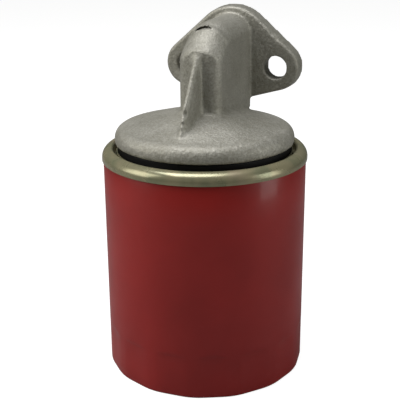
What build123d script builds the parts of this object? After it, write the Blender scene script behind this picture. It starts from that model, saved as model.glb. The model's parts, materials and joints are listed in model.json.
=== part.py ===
from build123d import *
import os
from math import pi, sin

# Spin-on oil filter on its cast mounting head, for a small engine, in millimetres.
# The can stands on Z = 0 with its axis on Z. The head's rib points to -Y and the
# bolting flange closes the back, facing +Y.

# ---------------------------------------------------------------- driving sizes
# Can, drawn from thin sheet, with wrench flats round its foot
can_radius = 37.5
can_wall = 0.6
can_height = 80.9
flat_count = 15
flat_height = 16.0
flat_depth = 0.5
flat_turn = 5.6
can_foot_chamfer = 0.5
foot_ring_width = 10.5
recess_depth = 1.6
can_neck_step = 0.4
can_edge_length = 2.3

# Seaming lid, rolled over the can's edge
seam_overhang = 0.5
seam_height = 4.25
seam_width = 4.1
seam_crown = 3.4
seam_inner_edge = 0.5
lid_sheet = 0.7
lid_lip_inset = 5.25
lid_lip_height = 3.0
lid_bead_width = 1.2
lid_bead_height = 1.9
lid_bore_margin = 2.0

# Tapping plate, its threaded collar and its ring of inlet holes
plate_clearance = 1.1
plate_thickness = 3.0
plate_step = 0.1
collar_wall = 1.75
collar_length = 4.5
inlet_hole_count = 8
inlet_hole_radius = 2.5
inlet_ring_radius = 19.5

# Gasket between the lid and the head
gasket_width = 3.6
gasket_clearance = 0.15
gasket_edge = 0.5
head_gap = 1.5

# Head: disc and dome
disc_overhang = 0.35
disc_side = 2.1
disc_shoulder = 4.05
dome_rise = 4.9
dome_inner_radius = 10.0
dome_crown = 0.25
land_width = 7.1
gallery_depth = 3.9
boss_wall = 2.975
boss_recess = 1.0

# Head: neck and arm, running back to the flange
neck_half_width = 8.0
neck_front = -7.5
neck_corner = 4.5
arch_radius = 8.2
arm_front = 3.2
arm_height = 42.7
cap_step = 2.2
cap_break_run = 3.8
cap_break_drop = 1.4
cap_front_drop = 4.7

# Head: rib down the front
rib_tip_inset = 6.7
rib_tip_half_width = 1.2
rib_root_half_width = 1.6
rib_knee_run = 5.2
rib_knee_share = 0.343
rib_top_drop = 0.4
rib_edge = 1.0
rib_root_sunk = 0.4

# Head: three-cornered flange
flange_thickness = 7.0
flange_draft = 3.0
flange_edge = 0.7
bolt_spacing = 36.0
bolt_drop = 20.25
bolt_hole_radius = 4.5
lug_radius = 9.35
apex_radius = 15.8
apex_drop = 12.85
flange_foot_half_width = 8.0
flange_foot_height = 12.45
flange_foot_radius = 2.5

# Head: oil passages and the grooves for their port seals
port_radius = 3.75
outlet_drop = 9.85
outlet_riser_radius = 5.0
seal_margin = 1.1
seal_width = 1.9
seal_depth = 1.4
seal_clearance = 0.05
seal_spacing = 0.9
seal_edge = 0.4

# Threaded nipple, 3/4 inch, drawn at the thread's crests
thread_radius = 9.525
thread_clearance = 0.05
nipple_reach = 15.65
nipple_seat = 7.85
nipple_bore_radius = 6.2
nipple_key_flats = 12.7
nipple_key_depth = 8.0
nipple_lead_in = 0.9

# Filter element
cap_sheet = 0.6
element_gap = 5.3
cap_skirt = 3.6
cap_bore_clearance = 0.875
sealant_depth = 0.8
pleat_count = 40
pleat_tip_clearance = 0.2
pleat_root_clearance = 0.8
pleat_paper_depth = 4.4
clip_sheet = 0.3
clip_inner_width = 1.3
clip_depth = 2.6
tube_clearance = 1.875
tube_wall = 0.6
tube_hole_radius = 1.6
tube_hole_rows = 6
tube_holes_per_row = 8
tube_hole_margin = 6.0
element_lift = 8.6

# Anti-drain valve under the tapping plate
valve_lap = 5.0
valve_membrane = 1.1
valve_sleeve_wall = 1.25
valve_clearance = 0.05

# Bypass valve in the foot of the centre tube
bypass_port_radius = 5.0
bypass_seat_clearance = 0.2
bypass_seat_thickness = 1.2
bypass_disc_radius = 7.9
bypass_disc_thickness = 1.0
cage_clearance = 0.3
cage_sheet = 0.6
cage_height = 11.4
cage_window_width = 6.0
cage_window_height = 6.5
cage_window_count = 4
cage_vent_radius = 2.5
bypass_coil_radius = 4.6
bypass_wire_radius = 0.4
bypass_coil_turns = 5

# Element spring on the can's floor
element_coil_radius = 14.0
element_wire_radius = 0.9
element_coil_turns = 3

# ---------------------------------------------------------------- worked-out sizes
flat_apothem = can_radius - flat_depth
recess_radius = can_radius - foot_ring_width
can_edge_outer = can_radius - can_neck_step
can_edge_inner = can_edge_outer - can_wall
seam_radius = can_radius + seam_overhang
seam_inner = seam_radius - seam_width
crown_centre = seam_radius - seam_crown
lid_lip_radius = seam_radius - lid_lip_inset
lip_inner = lid_lip_radius - lid_sheet
gasket_outer = lip_inner - gasket_clearance
gasket_inner = gasket_outer - gasket_width
bead_outer = gasket_inner - gasket_clearance
bead_inner = bead_outer - lid_bead_width
lid_bore_radius = inlet_ring_radius + inlet_hole_radius + lid_bore_margin
plate_radius = can_edge_inner - plate_clearance
thread_bore_radius = thread_radius + thread_clearance
collar_radius = thread_bore_radius + collar_wall
valve_radius = inlet_ring_radius + inlet_hole_radius + valve_lap
valve_bore_radius = collar_radius + valve_clearance

disc_radius = lid_lip_radius + disc_overhang
boss_radius = thread_radius + boss_wall
gallery_radius = disc_radius - land_width
inlet_riser_y = (boss_radius + gallery_radius) / 2
seal_radius = port_radius + seal_margin + seal_width / 2
seal_groove_radius = seal_radius + seal_width / 2 + seal_clearance
port_spacing = 2 * seal_groove_radius + seal_spacing
flange_back = seam_radius
flange_front = flange_back - flange_thickness
rib_tip = -(disc_radius - rib_tip_inset)
rib_knee_y = rib_tip + rib_knee_run
rib_root = neck_front + rib_root_sunk

cap_radius = can_radius - can_wall - element_gap
cap_bore_radius = thread_radius + cap_bore_clearance
tube_bore_radius = thread_radius + tube_clearance
tube_radius = tube_bore_radius + tube_wall
pleat_tip_radius = cap_radius - cap_sheet - pleat_tip_clearance
pleat_root_radius = tube_radius + pleat_root_clearance + pleat_paper_depth
bypass_seat_radius = tube_bore_radius - bypass_seat_clearance
cage_bore_radius = bypass_disc_radius + cage_clearance

# Levels, from the foot up
seam_top = can_height + seam_height
head_face = seam_top + head_gap
plate_top = can_height + plate_step
plate_bottom = plate_top - plate_thickness
collar_bottom = plate_bottom - collar_length
lid_floor = plate_top + lid_sheet
lip_top = plate_top + lid_lip_height
bead_top = lid_floor + lid_bead_height
can_floor = recess_depth + can_wall

upper_cap_bottom = collar_bottom - cap_sheet
media_top = upper_cap_bottom - sealant_depth
lower_cap_bottom = can_floor + element_lift
lower_cap_top = lower_cap_bottom + cap_sheet
media_bottom = lower_cap_top + sealant_depth
bypass_seat_top = lower_cap_top + bypass_seat_thickness
bypass_disc_top = bypass_seat_top + bypass_disc_thickness
cage_top = bypass_seat_top + cage_height

os.makedirs("parts", exist_ok=True)


# ---------------------------------------------------------------- shared shapes
def finish(piece, name):
    """Label a finished piece and write it to its own file."""
    piece.part.label = name
    export_step(piece.part, f"parts/{name}.step")


def turned(*outline):
    """Solid of revolution about Z from an outline of (radius, height) corners."""
    with BuildPart() as form:
        with BuildSketch(Plane.XZ):
            with BuildLine():
                Polyline(*outline, close=True)
            make_face()
        revolve(axis=Axis.Z)
    return form.part


def ring(inner, outer, bottom, top):
    """Flat ring about Z."""
    return turned((inner, bottom), (outer, bottom), (outer, top), (inner, top))


def coil_spring(coil_radius, wire_radius, bottom, top, turns):
    """Round-wire compression spring that fills the height from bottom to top."""
    travel = top - bottom - 2 * wire_radius
    with BuildPart() as form:
        with BuildLine() as path:
            Helix(travel / turns, travel, coil_radius, center=(0, 0, bottom + wire_radius))
        with BuildSketch(Plane(origin=path.line @ 0, x_dir=(1, 0, 0), z_dir=path.line % 0)):
            Circle(wire_radius)
        sweep(path=path.line, is_frenet=True)
    return form.part


# ---------------------------------------------------------------- can
def can_form(radius, apothem, foot, middle, neck_radius):
    """Drawn shape of the can, made once for its outside and once for its inside."""
    run_out = radius + 1 - apothem
    with BuildPart() as flat_cutter:
        with BuildSketch(Plane.XZ):
            with BuildLine():
                Polyline(
                    (apothem, foot - 1),
                    (radius + 1, foot - 1),
                    (radius + 1, flat_height + run_out),
                    (apothem, flat_height),
                    close=True,
                )
            make_face()
        extrude(amount=1.2 * radius * sin(pi / flat_count), both=True)
    with BuildPart() as form:
        add(
            turned(
                (0, middle),
                (recess_radius - recess_depth, middle),
                (recess_radius, foot),
                (radius, foot),
                (radius, can_height - 2 * can_neck_step),
                (neck_radius, can_height),
                (neck_radius, can_height + can_edge_length),
                (0, can_height + can_edge_length),
            )
        )
        with PolarLocations(0, flat_count, start_angle=flat_turn):
            add(flat_cutter.part, mode=Mode.SUBTRACT)
        chamfer(form.faces().sort_by(Axis.Z)[0].outer_wire().edges(), length=can_foot_chamfer)
    return form.part


with BuildPart() as can:
    add(can_form(can_radius, flat_apothem, 0, recess_depth, can_edge_outer))
    add(
        can_form(can_radius - can_wall, flat_apothem - can_wall, can_wall, can_floor, can_edge_inner),
        mode=Mode.SUBTRACT,
    )
finish(can, "can")

# ---------------------------------------------------------------- seaming lid
with BuildPart() as seaming_lid:
    with BuildSketch(Plane.XZ):
        with BuildLine():
            Polyline(
                (lid_bore_radius, lid_floor),
                (lid_bore_radius, plate_top),
                (can_edge_inner, plate_top),
                (can_edge_inner, can_height + can_edge_length),
                (can_edge_outer, can_height + can_edge_length),
                (can_edge_outer, can_height),
                (seam_radius, can_height),
                (seam_radius, seam_top - seam_crown),
            )
            CenterArc((crown_centre, seam_top - seam_crown), seam_crown, 0, 90)
            Polyline(
                (crown_centre, seam_top),
                (seam_inner + seam_inner_edge, seam_top),
                (seam_inner, seam_top - seam_inner_edge),
                (seam_inner, lid_floor),
                (lid_lip_radius, lid_floor),
                (lid_lip_radius, lip_top),
                (lip_inner, lip_top),
                (lip_inner, lid_floor),
                (bead_outer, lid_floor),
                (bead_outer, bead_top),
                (bead_inner, bead_top),
                (bead_inner, lid_floor),
                (lid_bore_radius, lid_floor),
            )
        make_face()
    revolve(axis=Axis.Z)
    lip_edges = seaming_lid.edges().filter_by(lambda edge: abs(edge.center().Z - lip_top) < 0.01)
    fillet(lip_edges, 0.4 * lid_sheet)
finish(seaming_lid, "seaming_lid")

# ---------------------------------------------------------------- tapping plate
with BuildPart() as tapping_plate:
    add(
        turned(
            (thread_bore_radius, collar_bottom),
            (collar_radius, collar_bottom),
            (collar_radius, plate_bottom),
            (plate_radius, plate_bottom),
            (plate_radius, plate_top),
            (thread_bore_radius, plate_top),
        )
    )
    with BuildSketch(Plane.XY.offset(plate_top)):
        with PolarLocations(inlet_ring_radius, inlet_hole_count):
            Circle(inlet_hole_radius)
    extrude(amount=-plate_thickness, mode=Mode.SUBTRACT)
finish(tapping_plate, "tapping_plate")

# ---------------------------------------------------------------- gasket
with BuildPart() as can_gasket:
    add(ring(gasket_inner, gasket_outer, lid_floor, head_face))
    fillet(can_gasket.edges().filter_by(GeomType.CIRCLE), gasket_edge)
finish(can_gasket, "can_gasket")

# ---------------------------------------------------------------- head casting
shoulder_centre = (disc_radius - disc_shoulder, head_face + disc_side)
shoulder_top = head_face + disc_side + disc_shoulder
dome_end = shoulder_top + dome_rise
arm_top = head_face + arm_height
outlet_level = arm_top - outlet_drop
inlet_level = outlet_level - port_spacing
bolt_level = arm_top - bolt_drop
cap_top = arm_top - cap_step
cap_break = cap_top - cap_break_drop
cap_front = cap_break - cap_front_drop
rib_top = cap_front - rib_top_drop
rib_knee_level = shoulder_top + rib_knee_share * (rib_top - shoulder_top)
flange_plane = Plane.XZ.offset(-flange_back)


def arch(crest):
    """Arch-headed section of the neck, widened past its sides, up to a crest height."""
    with Locations((0, crest - arch_radius)):
        Circle(arch_radius)
        Rectangle(2 * arch_radius, crest, align=(Align.CENTER, Align.MAX))


with BuildPart() as arm_roof:
    with BuildSketch(Plane.XZ.offset(-arm_front)):
        arch(arm_top)
    extrude(amount=-flange_back)

with BuildPart() as cap_roof:
    with BuildSketch(Plane.XZ.offset(-arm_front)):
        arch(cap_top)
    with BuildSketch(Plane.XZ.offset(cap_break_run - arm_front)):
        arch(cap_break)
    with BuildSketch(Plane.XZ.offset(-neck_front)):
        arch(cap_front)
    loft(ruled=True)

with BuildPart() as neck:
    with BuildSketch(Plane.XY.offset(shoulder_top)) as neck_plan:
        with Locations((0, neck_front)):
            Rectangle(
                2 * neck_half_width,
                flange_front + 1 - neck_front,
                align=(Align.CENTER, Align.MIN),
            )
        fillet(neck_plan.vertices().group_by(Axis.Y)[0], neck_corner)
    extrude(amount=arm_top - shoulder_top + 1)
    add(arm_roof.part + cap_roof.part, mode=Mode.INTERSECT)

with BuildPart() as rib:
    with BuildSketch(Plane.XY.offset(head_face + disc_side)):
        with BuildLine():
            Polyline(
                (-rib_tip_half_width, rib_tip),
                (rib_tip_half_width, rib_tip),
                (rib_root_half_width, rib_root),
                (-rib_root_half_width, rib_root),
                close=True,
            )
        make_face()
    extrude(amount=arm_height)
    with BuildSketch(Plane.YZ):
        with BuildLine():
            Polyline(
                (rib_root, head_face + disc_side),
                (rib_tip, head_face + disc_side),
                (rib_tip, shoulder_top),
                (rib_knee_y, rib_knee_level),
                (rib_root, rib_top),
                close=True,
            )
        make_face()
    extrude(amount=2 * rib_root_half_width, both=True, mode=Mode.INTERSECT)
    rib_crest = rib.edges().filter_by(
        lambda edge: edge.center().Z > shoulder_top
        and abs(edge.center().X) > rib_tip_half_width / 2
        and edge.center().Y < rib_root - rib_root_sunk
    )
    fillet(rib_crest, rib_edge)

with BuildPart() as flange:
    with BuildSketch(flange_plane):
        with Locations((0, arm_top - apex_drop)):
            Circle(apex_radius)
        with Locations(
            (-bolt_spacing / 2, bolt_level),
            (bolt_spacing / 2, bolt_level),
        ):
            Circle(lug_radius)
        with Locations(
            (-flange_foot_half_width, head_face + flange_foot_height),
            (flange_foot_half_width, head_face + flange_foot_height),
        ):
            Circle(flange_foot_radius)
        make_hull()
    extrude(amount=flange_thickness, taper=flange_draft)
    chamfer(flange.faces().sort_by(Axis.Y)[0].edges(), flange_edge)

with BuildPart() as head_casting:
    with BuildSketch(Plane.XZ):
        with BuildLine():
            Polyline((0, head_face), (disc_radius, head_face), (disc_radius, head_face + disc_side))
            CenterArc(shoulder_centre, disc_shoulder, 0, 90)
            ThreePointArc(
                (shoulder_centre[0], shoulder_top),
                (
                    (shoulder_centre[0] + dome_inner_radius) / 2,
                    (shoulder_top + dome_end) / 2 + dome_crown,
                ),
                (dome_inner_radius, dome_end),
            )
            Polyline((dome_inner_radius, dome_end), (0, dome_end), (0, head_face))
        make_face()
    revolve(axis=Axis.Z)
    add(neck.part)
    add(rib.part)
    add(flange.part)
    # Annular gallery over the inlet holes, and the boss that takes the nipple
    add(
        ring(boss_radius, gallery_radius, head_face, head_face + gallery_depth),
        mode=Mode.SUBTRACT,
    )
    add(
        turned(
            (0, head_face),
            (boss_radius, head_face),
            (boss_radius, head_face + boss_recess),
            (thread_radius, head_face + boss_recess),
            (thread_radius, head_face + nipple_seat),
            (outlet_riser_radius, head_face + nipple_seat),
            (outlet_riser_radius, outlet_level),
            (0, outlet_level + outlet_riser_radius / 2),
        ),
        mode=Mode.SUBTRACT,
    )
    with BuildSketch(flange_plane):
        with Locations((0, outlet_level)):
            Circle(port_radius)
    extrude(amount=flange_back, mode=Mode.SUBTRACT)
    with BuildSketch(flange_plane):
        with Locations((0, inlet_level)):
            Circle(port_radius)
    extrude(amount=flange_back - inlet_riser_y, mode=Mode.SUBTRACT)
    with BuildSketch(Plane.XY.offset(head_face)):
        with Locations((0, inlet_riser_y)):
            Circle(port_radius)
    extrude(amount=inlet_level - head_face, mode=Mode.SUBTRACT)
    # Grooves for the two port seals, and the bolt holes
    with BuildSketch(flange_plane):
        with Locations((0, outlet_level), (0, inlet_level)):
            Circle(seal_groove_radius)
            Circle(seal_radius - seal_width / 2 - seal_clearance, mode=Mode.SUBTRACT)
    extrude(amount=seal_depth, mode=Mode.SUBTRACT)
    with BuildSketch(flange_plane):
        with Locations(
            (-bolt_spacing / 2, bolt_level),
            (bolt_spacing / 2, bolt_level),
        ):
            Circle(bolt_hole_radius)
    extrude(amount=flange_thickness, mode=Mode.SUBTRACT)
finish(head_casting, "head_casting")


def port_seal(level):
    """Square-section ring, pressed flush with the flange's back face."""
    with BuildPart() as form:
        with BuildSketch(flange_plane):
            with Locations((0, level)):
                Circle(seal_radius + seal_width / 2)
                Circle(seal_radius - seal_width / 2, mode=Mode.SUBTRACT)
        extrude(amount=seal_depth)
        fillet(form.edges().filter_by(GeomType.CIRCLE), seal_edge)
    return form.part


with BuildPart() as outlet_seal:
    add(port_seal(outlet_level))
finish(outlet_seal, "outlet_seal")

with BuildPart() as inlet_seal:
    add(port_seal(inlet_level))
finish(inlet_seal, "inlet_seal")

# ---------------------------------------------------------------- nipple
nipple_top = head_face + nipple_seat
nipple_bottom = head_face - nipple_reach

with BuildPart() as nipple:
    add(
        turned(
            (nipple_bore_radius, nipple_bottom),
            (thread_radius - nipple_lead_in, nipple_bottom),
            (thread_radius, nipple_bottom + nipple_lead_in),
            (thread_radius, nipple_top),
            (nipple_bore_radius, nipple_top),
        )
    )
    with BuildSketch(Plane.XY.offset(nipple_bottom)):
        RegularPolygon(nipple_key_flats / 2, 6, major_radius=False)
    extrude(amount=nipple_key_depth, mode=Mode.SUBTRACT)
finish(nipple, "nipple")

# ---------------------------------------------------------------- anti-drain valve
with BuildPart() as anti_drain_valve:
    add(
        turned(
            (valve_bore_radius, collar_bottom),
            (valve_bore_radius + valve_sleeve_wall, collar_bottom),
            (valve_bore_radius + valve_sleeve_wall, plate_bottom - valve_membrane),
            (valve_radius, plate_bottom - valve_membrane),
            (valve_radius, plate_bottom),
            (valve_bore_radius, plate_bottom),
        )
    )
finish(anti_drain_valve, "anti_drain_valve")

# ---------------------------------------------------------------- element end caps
with BuildPart() as upper_end_cap:
    add(
        turned(
            (cap_bore_radius, upper_cap_bottom),
            (cap_radius - cap_sheet, upper_cap_bottom),
            (cap_radius - cap_sheet, collar_bottom - cap_skirt),
            (cap_radius, collar_bottom - cap_skirt),
            (cap_radius, collar_bottom),
            (cap_bore_radius, collar_bottom),
        )
    )
finish(upper_end_cap, "upper_end_cap")

with BuildPart() as lower_end_cap:
    add(
        turned(
            (bypass_port_radius, lower_cap_bottom),
            (cap_radius, lower_cap_bottom),
            (cap_radius, lower_cap_bottom + cap_skirt),
            (cap_radius - cap_sheet, lower_cap_bottom + cap_skirt),
            (cap_radius - cap_sheet, lower_cap_top),
            (bypass_port_radius, lower_cap_top),
        )
    )
finish(lower_end_cap, "lower_end_cap")

with BuildPart() as upper_sealant:
    add(ring(tube_radius, cap_radius - cap_sheet, media_top, upper_cap_bottom))
finish(upper_sealant, "upper_sealant")

with BuildPart() as lower_sealant:
    add(ring(tube_radius, cap_radius - cap_sheet, lower_cap_top, media_bottom))
finish(lower_sealant, "lower_sealant")

# ---------------------------------------------------------------- pleated paper and its clip
pleat_angle = 360 / pleat_count


def pleat_corners(tip, root):
    """Corners of a closed zigzag of pleats between a tip radius and a root radius."""
    corners = []
    for pleat in range(pleat_count):
        corners.append(Vector(tip, 0).rotate(Axis.Z, pleat * pleat_angle))
        corners.append(Vector(root, 0).rotate(Axis.Z, (pleat + 0.5) * pleat_angle))
    return corners


outer_pleats = pleat_corners(pleat_tip_radius, pleat_root_radius)
inner_pleats = pleat_corners(
    pleat_tip_radius - pleat_paper_depth,
    pleat_root_radius - pleat_paper_depth,
)
with BuildPart() as filter_media:
    with BuildSketch(Plane.XY.offset(media_bottom)):
        with BuildLine():
            Polyline(*outer_pleats, close=True)
        make_face()
        with BuildLine():
            Polyline(*inner_pleats, close=True)
        make_face(mode=Mode.SUBTRACT)
    extrude(amount=media_top - media_bottom)
finish(filter_media, "filter_media")

clip_bottom = lower_cap_bottom + cap_skirt
clip_top = collar_bottom - cap_skirt
with BuildPart() as media_clip:
    with BuildSketch(Plane.XY.offset(clip_bottom)):
        with Locations((pleat_tip_radius + clip_sheet, 0)):
            Rectangle(
                clip_depth + clip_sheet,
                clip_inner_width + 2 * clip_sheet,
                align=(Align.MAX, Align.CENTER),
            )
        with Locations((pleat_tip_radius, 0)):
            Rectangle(
                clip_depth,
                clip_inner_width,
                align=(Align.MAX, Align.CENTER),
                mode=Mode.SUBTRACT,
            )
    extrude(amount=clip_top - clip_bottom)
finish(media_clip, "media_clip")

# ---------------------------------------------------------------- centre tube
tube_row_span = upper_cap_bottom - lower_cap_top - 2 * tube_hole_margin
with BuildPart() as centre_tube:
    add(ring(tube_bore_radius, tube_radius, lower_cap_top, upper_cap_bottom))
    for row in range(tube_hole_rows):
        row_height = lower_cap_top + tube_hole_margin + row * tube_row_span / (tube_hole_rows - 1)
        row_turn = (row % 2) * 180 / tube_holes_per_row
        with Locations((0, 0, row_height)):
            with PolarLocations(0, tube_holes_per_row, start_angle=row_turn):
                Cylinder(
                    tube_hole_radius,
                    2 * tube_radius,
                    rotation=(0, 90, 0),
                    align=(Align.CENTER, Align.CENTER, Align.MIN),
                    mode=Mode.SUBTRACT,
                )
finish(centre_tube, "centre_tube")

# ---------------------------------------------------------------- bypass valve
with BuildPart() as bypass_seat:
    add(ring(bypass_port_radius, bypass_seat_radius, lower_cap_top, bypass_seat_top))
finish(bypass_seat, "bypass_seat")

with BuildPart() as bypass_disc:
    add(ring(0, bypass_disc_radius, bypass_seat_top, bypass_disc_top))
finish(bypass_disc, "bypass_disc")

with BuildPart() as bypass_cage:
    add(
        turned(
            (cage_bore_radius, bypass_seat_top),
            (bypass_seat_radius, bypass_seat_top),
            (bypass_seat_radius, bypass_seat_top + cage_sheet),
            (cage_bore_radius + cage_sheet, bypass_seat_top + cage_sheet),
            (cage_bore_radius + cage_sheet, cage_top),
            (cage_vent_radius, cage_top),
            (cage_vent_radius, cage_top - cage_sheet),
            (cage_bore_radius, cage_top - cage_sheet),
        )
    )
    with Locations((0, 0, bypass_seat_top + 2 * cage_sheet)):
        with PolarLocations(0, cage_window_count):
            Box(
                2 * bypass_seat_radius,
                cage_window_width,
                cage_window_height,
                align=(Align.MIN, Align.CENTER, Align.MIN),
                mode=Mode.SUBTRACT,
            )
finish(bypass_cage, "bypass_cage")

with BuildPart() as bypass_spring:
    add(
        coil_spring(
            bypass_coil_radius,
            bypass_wire_radius,
            bypass_disc_top,
            cage_top - cage_sheet,
            bypass_coil_turns,
        )
    )
finish(bypass_spring, "bypass_spring")

# ---------------------------------------------------------------- element spring
with BuildPart() as element_spring:
    add(
        coil_spring(
            element_coil_radius,
            element_wire_radius,
            can_floor,
            lower_cap_bottom,
            element_coil_turns,
        )
    )
finish(element_spring, "element_spring")
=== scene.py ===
# Oil filter on its cast mounting head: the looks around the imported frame, in metres.
import json
from math import atan2, ceil, cos, hypot, pi, radians, sin, sqrt

import bmesh
import bpy
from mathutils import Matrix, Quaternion, Vector, noise


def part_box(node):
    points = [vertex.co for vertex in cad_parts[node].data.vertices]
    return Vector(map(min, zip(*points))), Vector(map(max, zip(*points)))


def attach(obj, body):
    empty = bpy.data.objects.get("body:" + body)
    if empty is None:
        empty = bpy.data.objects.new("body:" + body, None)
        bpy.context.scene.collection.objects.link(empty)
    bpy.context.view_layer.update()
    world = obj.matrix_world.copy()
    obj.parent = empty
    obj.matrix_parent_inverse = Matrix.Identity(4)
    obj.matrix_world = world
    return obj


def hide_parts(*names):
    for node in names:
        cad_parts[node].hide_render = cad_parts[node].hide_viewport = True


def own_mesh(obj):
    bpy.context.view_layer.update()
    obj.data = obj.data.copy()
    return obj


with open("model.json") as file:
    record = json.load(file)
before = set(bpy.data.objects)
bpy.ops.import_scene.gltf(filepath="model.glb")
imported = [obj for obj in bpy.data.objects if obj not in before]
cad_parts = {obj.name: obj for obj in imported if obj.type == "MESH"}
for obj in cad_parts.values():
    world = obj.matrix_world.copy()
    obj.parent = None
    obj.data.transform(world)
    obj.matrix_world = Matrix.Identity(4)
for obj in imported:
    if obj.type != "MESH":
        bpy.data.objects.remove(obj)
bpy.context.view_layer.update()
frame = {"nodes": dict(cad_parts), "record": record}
nodes = frame["nodes"]
slotOf = {row["node"]: row["material_slot"] for row in frame["record"]["subparts"]}
mm = 0.001


# mesh helpers
def newPiece(name, bm):
    mesh = bpy.data.meshes.new(name)
    bm.to_mesh(mesh)
    bm.free()
    piece = bpy.data.objects.new(name, mesh)
    bpy.context.scene.collection.objects.link(piece)
    return piece


def copyOfNode(node):
    bm = bmesh.new()
    bm.from_mesh(nodes[node].data)
    bmesh.ops.remove_doubles(bm, verts=bm.verts, dist=0.002 * mm)
    return bm


def bakeModifiers(piece):
    graph = bpy.context.evaluated_depsgraph_get()
    solid = bpy.data.meshes.new_from_object(piece.evaluated_get(graph))
    piece.modifiers.clear()
    piece.data = solid


def turnChain(bm, corners, steps):      # corners are (radius, height), turned once about the axis
    points = [bm.verts.new((radius, 0, height)) for radius, height in corners]
    chain = [bm.edges.new(pair) for pair in zip(points, points[1:])]
    bmesh.ops.spin(bm, geom=points + chain, cent=(0, 0, 0), axis=(0, 0, 1), angle=2 * pi,
                   steps=steps, use_merge=True, use_duplicate=False)
    bmesh.ops.remove_doubles(bm, verts=bm.verts, dist=0.001 * mm)
    bmesh.ops.recalc_face_normals(bm, faces=bm.faces)


# camera and studio
def makeCamera():
    view = {
        "place": (0.1077, -0.3039, 0.1741),
        "aim": (-0.0020, 0.0, 0.0631),
        "roll": 0.46,          # degrees
        "lens": 81.06,
    }
    camera = bpy.data.objects.new("camera", bpy.data.cameras.new("camera"))
    bpy.context.scene.collection.objects.link(camera)
    camera.data.lens = view["lens"]
    camera.data.sensor_width = 36
    camera.location = view["place"]
    heading = Vector(view["aim"]) - Vector(view["place"])
    camera.rotation_mode = "QUATERNION"
    roll = Quaternion(heading.normalized(), radians(view["roll"]))
    camera.rotation_quaternion = roll @ heading.to_track_quat("-Z", "Y")
    bpy.context.scene.camera = camera


def makeStudio():
    studio = {
        "lamps": {
            "keyLamp": {"place": (-0.62, -0.36, 0.45), "size": (0.45, 0.55),
                        "power": 3.3, "tint": (1, 0.985, 0.95)},
            "topLamp": {"place": (-0.10, -0.05, 0.85), "size": (0.5, 0.5),
                        "power": 5.6, "tint": (0.96, 0.96, 1)},
            "rightLamp": {"place": (0.75, 0.02, 0.22), "size": (0.3, 0.6),
                          "power": 1.9, "tint": (1, 1, 0.97)},
        },
        "aim": (0, 0, 0.07),                # where the lamps point
        "room": (0.90, 0.92, 0.84, 1),
        "roomStrength": 0.10,
        "backdrop": 1.0,
        "paper": (0.30, 0.30, 0.30, 1),
        "paperRough": 0.9,
        "paperGlow": 0.90,                  # lifts the paper to a pale sweep for the camera alone
        "paperHalf": 4.0,
    }
    aim = Vector(studio["aim"])
    for name, lamp in studio["lamps"].items():
        light = bpy.data.objects.new(name, bpy.data.lights.new(name, "AREA"))
        bpy.context.scene.collection.objects.link(light)
        light.data.shape = "RECTANGLE"
        light.data.size, light.data.size_y = lamp["size"]
        light.data.energy = lamp["power"]
        light.data.color = lamp["tint"]
        light.location = lamp["place"]
        light.rotation_mode = "QUATERNION"
        light.rotation_quaternion = (aim - light.location).to_track_quat("-Z", "Y")
    world = bpy.data.worlds.new("studioRoom")
    bpy.context.scene.world = world
    world.use_nodes = True
    tree = world.node_tree
    walls = tree.nodes["Background"]
    walls.inputs["Color"].default_value = studio["room"]
    walls.inputs["Strength"].default_value = studio["roomStrength"]
    backdrop = addNode(tree, "ShaderNodeBackground", Color=(1, 1, 1, 1), Strength=studio["backdrop"])
    seen = tree.nodes.new("ShaderNodeMixShader")
    tree.links.new(tree.nodes.new("ShaderNodeLightPath").outputs["Is Camera Ray"], seen.inputs[0])
    tree.links.new(walls.outputs[0], seen.inputs[1])
    tree.links.new(backdrop.outputs[0], seen.inputs[2])
    tree.links.new(seen.outputs[0], tree.nodes["World Output"].inputs["Surface"])
    bm = bmesh.new()
    bmesh.ops.create_grid(bm, x_segments=1, y_segments=1, size=studio["paperHalf"])
    floor = newPiece("floor", bm)
    sheet = bpy.data.materials.new("paperFloor")
    sheet.use_nodes = True
    shader = sheet.node_tree.nodes["Principled BSDF"]
    shader.inputs["Base Color"].default_value = studio["paper"]
    shader.inputs["Roughness"].default_value = studio["paperRough"]
    shader.inputs["Emission Color"].default_value = (1, 1, 1, 1)
    sight = sheet.node_tree.nodes.new("ShaderNodeLightPath").outputs["Is Camera Ray"]
    glow = maths(sheet.node_tree, "MULTIPLY", sight, studio["paperGlow"])
    sheet.node_tree.links.new(glow, shader.inputs["Emission Strength"])
    floor.data.materials.append(sheet)
    bpy.context.scene.view_settings.view_transform = "Standard"


# node helpers
def feed(tree, socket, value):          # value is another node's output, or a plain number or colour
    if hasattr(value, "is_output"):
        tree.links.new(value, socket)
    else:
        socket.default_value = value


def addNode(tree, kind, settings=None, **inputs):
    node = tree.nodes.new(kind)
    for key, value in (settings or {}).items():
        setattr(node, key, value)
    for key, value in inputs.items():
        feed(tree, node.inputs[key.replace("_", " ")], value)
    return node


def maths(tree, operation, first, second):
    node = tree.nodes.new("ShaderNodeMath")
    node.operation = operation
    feed(tree, node.inputs[0], first)
    feed(tree, node.inputs[1], second)
    return node.outputs[0]


def blendColour(tree, factor, first, second):
    node = tree.nodes.new("ShaderNodeMix")
    node.data_type = "RGBA"
    feed(tree, node.inputs[0], factor)
    feed(tree, node.inputs[6], first)       # the colour sockets stand at 6 and 7
    feed(tree, node.inputs[7], second)
    return node.outputs[2]


# maps low..high onto newLow..newHigh, clamped
def spread(tree, value, low, high, newLow=0.0, newHigh=1.0):
    node = addNode(tree, "ShaderNodeMapRange", Value=value)
    node.inputs["From Min"].default_value = low
    node.inputs["From Max"].default_value = high
    node.inputs["To Min"].default_value = newLow
    node.inputs["To Max"].default_value = newHigh
    return node.outputs["Result"]


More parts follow.
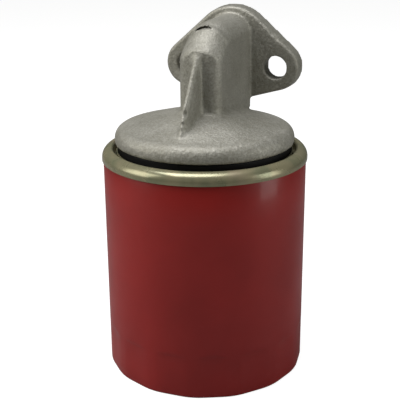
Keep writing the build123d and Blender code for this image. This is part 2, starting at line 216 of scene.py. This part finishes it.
# shader groups that several finishes share
def startGroup(name, inputs, outputs):
    group = bpy.data.node_groups.new(name, "ShaderNodeTree")
    for label, kind, value in inputs:
        socket = group.interface.new_socket(label, in_out="INPUT", socket_type=kind)
        socket.default_value = value
    for label, kind in outputs:
        group.interface.new_socket(label, in_out="OUTPUT", socket_type=kind)
    enter = group.nodes.new("NodeGroupInput")
    leave = group.nodes.new("NodeGroupOutput")
    return group, enter, leave


def makeCastGrain():          # sand texture: fine grain, pits and cloudy mottling
    group, enter, leave = startGroup(
        "castGrain",
        [("Grain", "NodeSocketFloat", 1100.0), ("Pits", "NodeSocketFloat", 420.0)],
        [("Height", "NodeSocketFloat"), ("Mottle", "NodeSocketFloat"), ("Speckle", "NodeSocketFloat")],
    )
    place = addNode(group, "ShaderNodeTexCoord").outputs["Object"]
    fine = addNode(group, "ShaderNodeTexNoise", Vector=place, Scale=enter.outputs["Grain"],
                   Detail=4.0, Roughness=0.65)
    broad = addNode(group, "ShaderNodeTexNoise", Vector=place, Scale=enter.outputs["Pits"],
                    Detail=3.0, Roughness=0.6)
    pits = addNode(group, "ShaderNodeTexVoronoi", Vector=place, Scale=enter.outputs["Pits"])
    pitDepth = spread(group, pits.outputs["Distance"], 0.0, 0.35)
    height = maths(group, "ADD", maths(group, "MULTIPLY", fine.outputs["Fac"], 0.55),
                   maths(group, "MULTIPLY", broad.outputs["Fac"], 0.6))
    height = maths(group, "ADD", height, maths(group, "MULTIPLY", pitDepth, 0.18))
    group.links.new(height, leave.inputs["Height"])
    cloud = addNode(group, "ShaderNodeTexNoise", Vector=place, Scale=75.0, Detail=5.0, Roughness=0.6)
    mottle = maths(group, "ADD", maths(group, "MULTIPLY", cloud.outputs["Fac"], 0.6),
                   maths(group, "MULTIPLY", broad.outputs["Fac"], 0.4))
    group.links.new(spread(group, mottle, 0.36, 0.64), leave.inputs["Mottle"])
    group.links.new(spread(group, fine.outputs["Fac"], 0.34, 0.66), leave.inputs["Speckle"])
    return group


def makeHandling():           # soft smears and a few thin scratches
    group, enter, leave = startGroup(
        "handlingMarks",
        [("Smudges", "NodeSocketFloat", 38.0), ("Scratches", "NodeSocketFloat", 0.5)],
        [("Marks", "NodeSocketFloat"), ("Smear", "NodeSocketFloat")],
    )
    place = addNode(group, "ShaderNodeTexCoord").outputs["Object"]
    cloud = addNode(group, "ShaderNodeTexNoise", Vector=place, Scale=enter.outputs["Smudges"],
                    Detail=4.0, Roughness=0.55)
    group.links.new(spread(group, cloud.outputs["Fac"], 0.35, 0.68), leave.inputs["Smear"])
    slant = addNode(group, "ShaderNodeMapping", Vector=place, Rotation=(0.5, 0.35, 0.9),
                    Scale=(14.0, 900.0, 60.0))
    lines = addNode(group, "ShaderNodeTexNoise", Vector=slant.outputs["Vector"], Scale=1.0, Detail=2.0)
    thin = spread(group, lines.outputs["Fac"], 0.70, 0.76)
    where = spread(group, cloud.outputs["Fac"], 0.5, 0.62)
    marks = maths(group, "MULTIPLY", maths(group, "MULTIPLY", thin, where), enter.outputs["Scratches"])
    group.links.new(marks, leave.inputs["Marks"])
    return group


def makeDrawLines():          # fine rings left by drawing, rolling or turning about the axis
    group, enter, leave = startGroup(
        "drawLines",
        [("Rings", "NodeSocketFloat", 2600.0)],
        [("Height", "NodeSocketFloat")],
    )
    place = addNode(group, "ShaderNodeTexCoord").outputs["Object"]
    apart = addNode(group, "ShaderNodeSeparateXYZ", Vector=place)
    flat = addNode(group, "ShaderNodeCombineXYZ", X=apart.outputs["X"], Y=apart.outputs["Y"])
    radius = addNode(group, "ShaderNodeVectorMath", {"operation": "LENGTH"})
    group.links.new(flat.outputs["Vector"], radius.inputs[0])
    ringPlace = addNode(group, "ShaderNodeCombineXYZ", X=radius.outputs["Value"], Z=apart.outputs["Z"])
    rings = addNode(group, "ShaderNodeTexNoise", Vector=ringPlace.outputs["Vector"],
                    Scale=enter.outputs["Rings"], Detail=2.0)
    group.links.new(rings.outputs["Fac"], leave.inputs["Height"])
    return group


castGrain = makeCastGrain()
handling = makeHandling()
drawLines = makeDrawLines()


# finishes; colours are linear, bump distances in metres
def startFinish(name):
    finish = bpy.data.materials.new(name)
    finish.use_nodes = True
    tree = finish.node_tree
    return finish, tree, tree.nodes["Principled BSDF"]


def placeGroup(tree, group, **inputs):
    node = tree.nodes.new("ShaderNodeGroup")
    node.node_tree = group
    for key, value in inputs.items():
        node.inputs[key].default_value = value
    return node


def addBump(tree, shader, height, strength, distance):
    bump = addNode(tree, "ShaderNodeBump", Height=height, Strength=strength, Distance=distance)
    tree.links.new(bump.outputs["Normal"], shader.inputs["Normal"])


def makeCastAluminium():
    look = {
        "bright": (0.50, 0.487, 0.430, 1),
        "dull": (0.325, 0.315, 0.262, 1),
        "grit": (0.18, 0.174, 0.138, 1),
        "scratch": (0.62, 0.61, 0.57, 1),
        "metal": 0.5,
        "rough": (0.46, 0.60),
        "bump": 1.2,
        "bumpDepth": 0.0003,
    }
    finish, tree, shader = startFinish("castAluminium")
    grain = placeGroup(tree, castGrain, Grain=1500.0, Pits=620.0)
    marks = placeGroup(tree, handling, Smudges=45.0, Scratches=0.35)
    tint = blendColour(tree, grain.outputs["Mottle"], look["dull"], look["bright"])
    tint = blendColour(tree, spread(tree, grain.outputs["Speckle"], 0, 1, 0.0, 0.6), tint, look["grit"])
    tint = blendColour(tree, marks.outputs["Marks"], tint, look["scratch"])
    tree.links.new(tint, shader.inputs["Base Color"])
    shader.inputs["Metallic"].default_value = look["metal"]
    tree.links.new(spread(tree, marks.outputs["Smear"], 0, 1, *look["rough"]), shader.inputs["Roughness"])
    addBump(tree, shader, grain.outputs["Height"], look["bump"], look["bumpDepth"])
    return finish


def makeRedPaint():
    look = {
        "paint": (0.340, 0.0175, 0.0145, 1),
        "thin": (0.250, 0.012, 0.010, 1),
        "rough": (0.38, 0.48),
        "coat": 0.22,
        "coatRough": 0.16,
        "index": 1.34,
        "peel": 420.0,              # size of the orange peel, per metre
        "bump": 0.2,
        "bumpDepth": 0.00006,
    }
    finish, tree, shader = startFinish("redEnamel")
    marks = placeGroup(tree, handling, Smudges=22.0, Scratches=0.25)
    tint = blendColour(tree, marks.outputs["Smear"], look["paint"], look["thin"])
    tree.links.new(tint, shader.inputs["Base Color"])
    tree.links.new(spread(tree, marks.outputs["Smear"], 0, 1, *look["rough"]), shader.inputs["Roughness"])
    shader.inputs["Coat Weight"].default_value = look["coat"]
    shader.inputs["Coat Roughness"].default_value = look["coatRough"]
    shader.inputs["IOR"].default_value = look["index"]
    place = addNode(tree, "ShaderNodeTexCoord").outputs["Object"]
    peel = addNode(tree, "ShaderNodeTexNoise", Vector=place, Scale=look["peel"], Detail=2.0)
    addBump(tree, shader, peel.outputs["Fac"], look["bump"], look["bumpDepth"])
    return finish


def makeYellowZinc():
    look = {
        "gold": (0.335, 0.305, 0.185, 1),
        "green": (0.235, 0.240, 0.145, 1),
        "rose": (0.34, 0.265, 0.19, 1),
        "scratch": (0.70, 0.68, 0.62, 1),
        "film": 95.0,               # size of the passivation's colour patches, per metre
        "metal": 0.45,
        "rough": (0.22, 0.34),
        "bump": 0.25,
        "bumpDepth": 0.00004,
    }
    finish, tree, shader = startFinish("yellowZinc")
    marks = placeGroup(tree, handling, Smudges=60.0, Scratches=0.4)
    place = addNode(tree, "ShaderNodeTexCoord").outputs["Object"]
    film = addNode(tree, "ShaderNodeTexNoise", Vector=place, Scale=look["film"], Detail=3.0, Distortion=0.8)
    tint = blendColour(tree, spread(tree, film.outputs["Fac"], 0.38, 0.62), look["green"], look["gold"])
    tint = blendColour(tree, spread(tree, marks.outputs["Smear"], 0.55, 1.0, 0.0, 0.45), tint, look["rose"])
    tint = blendColour(tree, marks.outputs["Marks"], tint, look["scratch"])
    tree.links.new(tint, shader.inputs["Base Color"])
    shader.inputs["Metallic"].default_value = look["metal"]
    tree.links.new(spread(tree, marks.outputs["Smear"], 0, 1, *look["rough"]), shader.inputs["Roughness"])
    lines = placeGroup(tree, drawLines, Rings=2400.0)
    addBump(tree, shader, lines.outputs["Height"], look["bump"], look["bumpDepth"])
    return finish


def makeRubber(name, tint, dusty, rough):
    finish, tree, shader = startFinish(name)
    grain = placeGroup(tree, castGrain, Grain=2200.0, Pits=700.0)
    marks = placeGroup(tree, handling, Smudges=90.0, Scratches=0.0)
    dust = spread(tree, marks.outputs["Smear"], 0.45, 1.0, 0.0, 0.35)
    tree.links.new(blendColour(tree, dust, tint, dusty), shader.inputs["Base Color"])
    roughness = spread(tree, marks.outputs["Smear"], 0, 1, rough, rough + 0.18)
    tree.links.new(roughness, shader.inputs["Roughness"])
    shader.inputs["Specular IOR Level"].default_value = 0.2
    addBump(tree, shader, grain.outputs["Height"], 0.15, 0.0001)
    return finish


def makeSheet(name, bright, dull, metal, rough, rings):
    finish, tree, shader = startFinish(name)
    marks = placeGroup(tree, handling, Smudges=55.0, Scratches=0.6)
    lines = placeGroup(tree, drawLines, Rings=rings)
    tint = blendColour(tree, marks.outputs["Smear"], bright, dull)
    tint = blendColour(tree, marks.outputs["Marks"], tint, (0.8, 0.8, 0.78, 1))
    tree.links.new(tint, shader.inputs["Base Color"])
    shader.inputs["Metallic"].default_value = metal
    roughness = spread(tree, marks.outputs["Smear"], 0, 1, rough, rough + 0.15)
    tree.links.new(roughness, shader.inputs["Roughness"])
    addBump(tree, shader, lines.outputs["Height"], 0.3, 0.00005)
    return finish


def makePaper():
    look = {
        "resin": (0.66, 0.47, 0.19, 1),
        "pale": (0.80, 0.64, 0.36, 1),
        "fibre": 900.0,             # size of the fibres, per metre
        "rough": 0.82,
    }
    finish, tree, shader = startFinish("filterPaper")
    place = addNode(tree, "ShaderNodeTexCoord").outputs["Object"]
    fibre = addNode(tree, "ShaderNodeTexNoise", Vector=place, Scale=look["fibre"],
                    Detail=6.0, Roughness=0.75, Distortion=1.2)
    tint = blendColour(tree, spread(tree, fibre.outputs["Fac"], 0.35, 0.65), look["resin"], look["pale"])
    tree.links.new(tint, shader.inputs["Base Color"])
    shader.inputs["Roughness"].default_value = look["rough"]
    addBump(tree, shader, fibre.outputs["Fac"], 0.4, 0.00012)
    return finish


def makePlastic(name, pale, deep, rough):
    finish, tree, shader = startFinish(name)
    grain = placeGroup(tree, castGrain, Grain=900.0, Pits=260.0)
    tree.links.new(blendColour(tree, grain.outputs["Mottle"], deep, pale), shader.inputs["Base Color"])
    roughness = spread(tree, grain.outputs["Mottle"], 0, 1, rough, rough + 0.12)
    tree.links.new(roughness, shader.inputs["Roughness"])
    addBump(tree, shader, grain.outputs["Height"], 0.12, 0.0001)
    return finish


print("finishes")
finishes = {
    "cast_aluminium": makeCastAluminium(),
    "red_paint": makeRedPaint(),
    "yellow_zinc": makeYellowZinc(),
    "black_rubber": makeRubber("blackRubber", tint=(0.0035, 0.0035, 0.004, 1),
                               dusty=(0.010, 0.010, 0.010, 1), rough=0.5),
    "valve_rubber": makeRubber("valveRubber", tint=(0.36, 0.085, 0.045, 1),
                               dusty=(0.42, 0.15, 0.10, 1), rough=0.55),
    "bright_steel": makeSheet("brightSteel", bright=(0.62, 0.62, 0.60, 1), dull=(0.50, 0.50, 0.49, 1),
                              metal=1.0, rough=0.24, rings=3200.0),
    "tin_plate": makeSheet("tinPlate", bright=(0.66, 0.66, 0.63, 1), dull=(0.54, 0.54, 0.52, 1),
                           metal=1.0, rough=0.30, rings=1400.0),
    "spring_steel": makeSheet("springSteel", bright=(0.30, 0.30, 0.31, 1), dull=(0.20, 0.19, 0.18, 1),
                              metal=1.0, rough=0.32, rings=5200.0),
    "plastisol": makePlastic("plastisol", pale=(0.74, 0.71, 0.62, 1), deep=(0.62, 0.58, 0.48, 1),
                             rough=0.5),
    "valve_nylon": makePlastic("valveNylon", pale=(0.80, 0.78, 0.71, 1), deep=(0.70, 0.67, 0.58, 1),
                               rough=0.36),
    "filter_paper": makePaper(),
}


def dress(piece, slot):
    piece.data.materials.clear()
    piece.data.materials.append(finishes[slot])


def standFor(piece, node, body):
    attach(piece, body)
    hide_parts(node)
    dress(piece, slotOf[node])


# head casting; places are measured from the arm's roof at the flange's back
casting = {
    "voxel": 0.5 * mm,
    "apexRise": 2.95 * mm,      # how far the flange stands above the arm's roof
    "roofRadius": 8.2 * mm,
    "step": 34.8 * mm,          # how far forward the roof's front end is
    "castRounds": 8,            # smoothing passes that round off the cast edges
    "flange": 7.3 * mm,         # thickness of the flange and its root
    "flangeRounds": 3,          # the flange keeps crisper edges
    "machined": 0.7 * mm,       # depth of the back face that stays true
    "stepReach": 3.0 * mm,
    "stepDrop": 9.5 * mm,
    "stepRounds": 10,
    "frontAt": 45.5 * mm,       # the neck's front
    "frontReach": 4.0 * mm,
    "frontRounds": 14,
    "ribClear": 2.6 * mm,       # half of the strip down the front that the rib keeps
    "ribStart": 0.2 * mm,
    "domeTop": 29.1 * mm,       # how far down the dome's peak is
    "domeSlope": 0.2526,
    "rootReach": 2.8 * mm,      # where the neck and rib grow out of the dome
    "rootRadius": 25 * mm,
    "rootRounds": 30,
    "creaseAngle": 55,
    "ledge": {                  # the roof's step down to the cap
        "rise": 2.2 * mm,
        "face": 0.3 * mm,
        "reach": 6.0 * mm,
        "low": 7.5 * mm,
        "fadeOut": 3.0 * mm,
    },
    "rib": {                    # in millimetres
        "crest": ((-64.4, -36.6), (-59.2, -27.4), (-45.1, -8.4)),
        "clear": 0.6,
        "halfWidth": 2.4,
        "crestShare": 0.7,      # width that the crest keeps
        "depth": 4.0,
        "steep": 0.6,
        "runIn": 2.0,
        "foot": -36.3,
    },
    "dents": [                  # in millimetres; a depth below zero stands proud
        {"at": (16.8, -6.2, -6.9), "radius": 2.2, "depth": 0.45},      # torn edge on the flange
        {"at": (18.6, -6.6, -8.6), "radius": 1.6, "depth": 0.5},
        {"at": (19.8, -5.8, -9.4), "radius": 1.3, "depth": 0.35},
        {"at": (0.5, -59.2, -27.9), "radius": 1.5, "depth": 0.9},      # nick in the rib's crest
        {"at": (-0.3, -57.8, -25.8), "radius": 1.0, "depth": -0.3},
        {"at": (0.3, -61.0, -31.2), "radius": 1.2, "depth": 0.5},
    ],
    "scar": {
        "start": -36,           # degrees from straight up
        "sweep": 54,
        "core": 6.65 * mm,      # radius of the crescent's middle line
        "mouth": 0.60 * mm,     # half of its height outside
        "root": 0.35 * mm,      # and at its bottom
        "out": 2.4 * mm,
        "deep": 2.2 * mm,
        "ragged": 0.5 * mm,
        "raggedness": 11,       # waves for each radian of turn
        "tip": 0.3,             # share of the height left at the tips
        "swell": 1.3,
        "steps": 14,
    },
}


def makeCasting():
    piece = newPiece("headCasting", copyOfNode("head_casting"))
    skin = piece.modifiers.new("skin", "REMESH")
    skin.mode = "VOXEL"
    skin.voxel_size = casting["voxel"]
    bpy.context.view_layer.update()
    bakeModifiers(piece)
    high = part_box("head_casting")[1]
    roofTop = Vector((0, high.y, high.z - casting["apexRise"]))
    bm = bmesh.new()
    bm.from_mesh(piece.data)
    easeStep(bm, roofTop)
    softenEdges(bm, roofTop)
    thinRib(bm, roofTop)
    markCasting(bm, roofTop)
    bm.to_mesh(piece.data)
    bm.free()
    cutGateScar(piece, roofTop)
    piece.data.shade_smooth()
    piece.data.set_sharp_from_angle(angle=radians(casting["creaseAngle"]))
    standFor(piece, "head_casting", "head")
    print("head casting,", len(piece.data.polygons), "faces")


def softenEdges(bm, roofTop):       # each zone of the casting gets its own number of smoothing passes
    back = roofTop.y
    stepAt = back - casting["step"]
    stepLow = roofTop.z - casting["stepDrop"]
    neckFront = back - casting["frontAt"]
    frontEnd = neckFront + casting["frontReach"]
    domePeak = roofTop.z - casting["domeTop"]

    def onRib(v):
        return abs(v.co.x) < casting["ribClear"] and v.co.y < neckFront + casting["ribStart"]

    def overDome(v):
        return v.co.z - domePeak + casting["domeSlope"] * hypot(v.co.x, v.co.y)

    def nearRoot(v):
        return abs(overDome(v)) < casting["rootReach"] and hypot(v.co.x, v.co.y) < casting["rootRadius"]

    cast = [v for v in bm.verts if v.co.y < back - casting["flange"]]
    flange = [v for v in bm.verts if back - casting["flange"] <= v.co.y < back - casting["machined"]]
    step = [v for v in cast if abs(v.co.y - stepAt) < casting["stepReach"] and v.co.z > stepLow]
    front = [v for v in cast if v.co.y < frontEnd and v.co.z > domePeak and not onRib(v)]
    root = [v for v in cast if nearRoot(v)]
    zones = {"cast": cast, "flange": flange, "step": step, "front": front, "root": root}
    for zone, verts in zones.items():
        for passing in range(casting[zone + "Rounds"]):
            bmesh.ops.smooth_vert(bm, verts=verts, factor=0.5,
                                  use_axis_x=True, use_axis_y=True, use_axis_z=True)


def easeStep(bm, roofTop):          # the roof runs softly down to the cap instead of ending in a ledge
    ledge = casting["ledge"]
    half = ledge["rise"] / 2
    radius = casting["roofRadius"]
    for v in bm.verts:
        ahead = v.co.y - (roofTop.y - casting["step"])
        if abs(ahead) > ledge["reach"] or v.co.z < roofTop.z - ledge["low"]:
            continue
        arch = sqrt(max(0, radius ** 2 - v.co.x ** 2))
        middle = roofTop.z - radius + arch - half
        if abs(ahead) <= ledge["face"]:
            v.co.z += min(half, max(-half, middle - v.co.z))
        else:
            weight = 1 - (abs(ahead) - ledge["face"]) / (ledge["reach"] - ledge["face"])
            fade = min(1, (v.co.z - roofTop.z + ledge["low"]) / ledge["fadeOut"])
            v.co.z -= half * weight * weight * (3 - 2 * weight) * fade * (1 if ahead > 0 else -1)


def thinRib(bm, roofTop):            # the rib's crest is a narrow edge that thickens towards its foot
    rib = casting["rib"]
    (tipY, tipZ), (kneeY, kneeZ), (rootY, rootZ) = rib["crest"]
    lastY = rootY - rib["clear"]
    for v in bm.verts:
        y = (v.co.y - roofTop.y) / mm
        z = (v.co.z - roofTop.z) / mm
        if abs(v.co.x) > rib["halfWidth"] * mm or y > lastY or z < rib["foot"]:
            continue
        if y < kneeY:
            crest = tipZ + (y - tipY) * (kneeZ - tipZ) / (kneeY - tipY)
        else:
            crest = kneeZ + (y - kneeY) * (rootZ - kneeZ) / (rootY - kneeY)
        share = min(1, max(0, (crest - z) * rib["steep"] / rib["depth"]))
        settle = min(1, (lastY - y) / rib["runIn"])
        narrow = rib["crestShare"] + (1 - rib["crestShare"]) * share
        v.co.x *= 1 - settle * (1 - narrow)


def markCasting(bm, roofTop):       # small dents and nicks from handling and fettling
    bm.normal_update()
    for dent in casting["dents"]:
        centre = roofTop + Vector(dent["at"]) * mm
        radius = dent["radius"] * mm
        for v in bm.verts:
            away = (v.co - centre).length / radius
            if away < 1:
                v.co -= v.normal * dent["depth"] * mm * (1 - away * away) ** 2


def cutGateScar(piece, roofTop):     # crescent torn out of the step where the arm's roof begins
    scar = casting["scar"]
    axle = roofTop - Vector((0, casting["step"], casting["roofRadius"]))
    heart = axle + Vector((0, 0, scar["core"]))
    bm = bmesh.new()
    ends = [(scar["out"], scar["mouth"]), (scar["out"], -scar["mouth"]),
            (-scar["deep"], -scar["root"]), (-scar["deep"], scar["root"])]
    corners = [bm.verts.new(heart + Vector((0, -out, side))) for out, side in ends]
    wedge = bm.faces.new(corners)
    tilt = Quaternion((0, 1, 0), radians(scar["start"])).to_matrix()
    bmesh.ops.rotate(bm, verts=corners, cent=axle, matrix=tilt)
    section = corners + list(wedge.edges) + [wedge]
    bmesh.ops.spin(bm, geom=section, cent=axle, axis=(0, 1, 0),
                   angle=radians(scar["sweep"]), steps=scar["steps"])
    middle = radians(scar["start"] + scar["sweep"] / 2)
    for v in bm.verts:              # thin at the tips, ragged between them
        turn = atan2(v.co.x, v.co.z - axle.z)
        share = 1 - abs(turn - middle) / radians(scar["sweep"] / 2)
        ragged = noise.noise(Vector((turn * scar["raggedness"], 0, 0))) * scar["ragged"]
        spoke = Vector((v.co.x, 0, v.co.z - axle.z))
        swell = min(1, scar["tip"] + scar["swell"] * share)
        grown = scar["core"] + (spoke.length - scar["core"]) * swell + ragged * share
        v.co = axle + spoke.normalized() * grown + Vector((0, v.co.y - axle.y, 0))
    bmesh.ops.recalc_face_normals(bm, faces=bm.faces)
    cutter = newPiece("gateScar", bm)
    cut = piece.modifiers.new("scar", "BOOLEAN")
    cut.operation = "DIFFERENCE"
    cut.solver = "EXACT"
    cut.object = cutter
    bpy.context.view_layer.update()
    bakeModifiers(piece)
    bpy.data.objects.remove(cutter)


# can, with wrench flats that fade into its wall
can = {
    "wall": 0.6 * mm,
    "neckStep": 0.4 * mm,
    "edge": 2.3 * mm,           # the neck above the shoulder
    "flats": 15,
    "flatTurn": 5.6,            # degrees
    "flatDepth": 0.32 * mm,
    "flatHeight": 16.0 * mm,
    "softness": 0.32 * mm,      # how far the edges between flats are rounded
    "fade": 0.25,               # how fast the flats run out above their height
    "runOut": 3.0 * mm,
    "runOutRings": 11,
    "skirt": 1.4 * mm,          # how deep under the surface the flats may reach
    "footWidth": 10.5 * mm,
    "footRound": 0.9 * mm,
    "lip": 0.3 * mm,            # small rounding inside the foot ring
    "recess": 1.6 * mm,
    "steps": 480,
    "creaseAngle": 30,
}


def makeCan():
    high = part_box("can")[1]
    radius = high.x
    top = high.z
    wall = can["wall"]
    step = can["neckStep"]
    recess = can["recess"]
    shoulder = top - can["edge"]
    neck = radius - step
    inner = radius - can["footWidth"]
    rise = can["flatHeight"]
    bend = can["footRound"]
    runOut = [rise + ring * can["runOut"] / (can["runOutRings"] - 1) for ring in range(can["runOutRings"])]
    quarter = [turn * pi / 8 for turn in range(5)]
    fifths = (0.2, 0.4, 0.6, 0.8)
    quarters = (0.25, 0.5, 0.75)

    outer = [(0, recess), (inner - recess, recess), (inner - can["lip"], 0.35 * mm), (inner + 0.5 * mm, 0)]
    outer += [(radius - bend + bend * sin(a), bend - bend * cos(a)) for a in quarter]
    outer += [(radius, bend + (rise - bend) * share) for share in fifths]
    outer += [(radius, level) for level in runOut]
    outer += [(radius, rise + (shoulder - rise) * share) for share in quarters]
    outer += [(radius, shoulder - 2 * step), (neck, shoulder), (neck, top)]
    back = radius - wall
    lining = [(neck - wall, top), (neck - wall, shoulder), (back, shoulder - 2 * step)]
    lining += [(back, rise + (shoulder - rise) * share) for share in reversed(quarters)]
    lining += [(back, level) for level in reversed(runOut)]
    lining += [(back, bend + (rise - bend) * share) for share in reversed(fifths)]
    lining += [(radius - bend + (bend - wall) * sin(a), bend - (bend - wall) * cos(a)) for a in quarter[::-2]]
    lining += [(inner + 0.6 * mm, wall), (inner - recess, recess + wall), (0, recess + wall)]
    bm = bmesh.new()
    turnChain(bm, outer + lining, can["steps"])

    pitch = 2 * pi / can["flats"]
    for v in bm.verts:
        far = hypot(v.co.x, v.co.y)
        if far < radius - can["skirt"] or v.co.z > rise + can["runOut"]:
            continue
        turn = atan2(v.co.y, v.co.x) - radians(can["flatTurn"])
        off = (turn + pitch / 2) % pitch - pitch / 2
        lift = max(0, v.co.z - rise) * can["fade"]
        flat = (far - can["flatDepth"] + lift) / cos(off)
        near = max(0, can["softness"] - abs(far - flat)) / can["softness"]
        settled = min(far, flat) - near * near * can["softness"] / 4
        v.co.x *= settled / far
        v.co.y *= settled / far
    bmesh.ops.recalc_face_normals(bm, faces=bm.faces)
    piece = newPiece("paintedCan", bm)
    piece.data.shade_smooth()
    piece.data.set_sharp_from_angle(angle=radians(can["creaseAngle"]))
    standFor(piece, "can", "filter")
    print("can,", len(piece.data.polygons), "faces")


# nipple with its rolled thread, bore and hexagon socket
nipple = {
    "pitch": 1.5875 * mm,
    "depth": 0.92 * mm,
    "ridge": (0.0, 0.14, 0.5, 0.64, 1.0),   # crest, crest, root, root and the next crest along one pitch
    "leadIn": 0.9 * mm,
    "facets": 48,
    "bore": 6.2 * mm,           # radius
    "keyFlats": 12.7 * mm,
    "keyDepth": 8.0 * mm,
    "creaseAngle": 32,
}


def makeNipple():
    low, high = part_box("nipple")
    pitch = nipple["pitch"]
    bore = nipple["bore"]
    outer = high.x
    root = outer - nipple["depth"]
    turns = ceil((high.z - low.z) / pitch) + 2
    start = low.z - pitch
    bm = bmesh.new()
    ridge = zip((outer, outer, root, root, outer), nipple["ridge"])
    points = [bm.verts.new((radius, 0, start + share * pitch)) for radius, share in ridge]
    chain = [bm.edges.new(pair) for pair in zip(points, points[1:])]
    bmesh.ops.spin(bm, geom=points + chain, cent=(0, 0, 0), axis=(0, 0, 1), angle=2 * pi * turns,
                   steps=turns * nipple["facets"], dvec=(0, 0, pitch / nipple["facets"]))
    bmesh.ops.remove_doubles(bm, verts=bm.verts, dist=0.01 * mm)
    for level, side in ((low.z + nipple["leadIn"], -1), (high.z - nipple["leadIn"], 1)):
        bmesh.ops.bisect_plane(bm, geom=bm.verts[:] + bm.edges[:] + bm.faces[:], dist=0.001 * mm,
                               plane_co=(0, 0, level), plane_no=(0, 0, side), clear_outer=True)

    def keyRadius(turn):
        return nipple["keyFlats"] / 2 / cos((turn + pi / 6) % (pi / 3) - pi / 6)

    def nextRing(edges, level, radiusAt):
        grown = bmesh.ops.extrude_edge_only(bm, edges=edges)["geom"]
        for v in [part for part in grown if isinstance(part, bmesh.types.BMVert)]:
            turn = atan2(v.co.y, v.co.x)
            radius = radiusAt(turn)
            v.co = (radius * cos(turn), radius * sin(turn), level)
        return [part for part in grown if isinstance(part, bmesh.types.BMEdge) and part.is_boundary]

    rims = [edge for edge in bm.edges if edge.is_boundary]
    middle = (low.z + high.z) / 2
    lower = [edge for edge in rims if edge.verts[0].co.z < middle]
    upper = [edge for edge in rims if edge.verts[0].co.z > middle]
    lower = nextRing(lower, low.z, lambda turn: root)
    lower = nextRing(lower, low.z, keyRadius)
    lower = nextRing(lower, low.z + nipple["keyDepth"], keyRadius)
    lower = nextRing(lower, low.z + nipple["keyDepth"], lambda turn: bore)
    upper = nextRing(upper, high.z, lambda turn: root)
    upper = nextRing(upper, high.z, lambda turn: bore)
    bmesh.ops.bridge_loops(bm, edges=lower + upper)
    bmesh.ops.recalc_face_normals(bm, faces=bm.faces)
    piece = newPiece("threadedNipple", bm)
    piece.data.shade_smooth()
    piece.data.set_sharp_from_angle(angle=radians(nipple["creaseAngle"]))
    standFor(piece, "nipple", "head")
    print("nipple,", len(piece.data.polygons), "faces")


# springs, copied from the part file; the real ones shorten between the piece they stand on and the piece they
# push
springs = {
    "elementSpring": {"node": "element_spring", "body": "filter", "joint": "element_float",
                      "held": "foot", "travel": 1.5 * mm, "creaseAngle": 40},
    "bypassSpring": {"node": "bypass_spring", "body": "element", "joint": "bypass_lift",
                     "held": "top", "travel": 3.0 * mm, "creaseAngle": 40},
}


def makeSpring(name, spring):
    piece = newPiece(name, copyOfNode(spring["node"]))
    piece.data.shade_smooth()
    piece.data.set_sharp_from_angle(angle=radians(spring["creaseAngle"]))
    standFor(piece, spring["node"], spring["body"])
    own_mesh(piece)
    print(name, "keeps to", spring["joint"])


print("pieces")
makeCasting()
makeCan()
makeNipple()
for name, spring in springs.items():
    makeSpring(name, spring)
replaced = {"head_casting", "can", "nipple", "element_spring", "bypass_spring"}
for name, piece in nodes.items():
    if name not in replaced:
        dress(piece, slotOf[name])
print("studio")
makeCamera()
makeStudio()
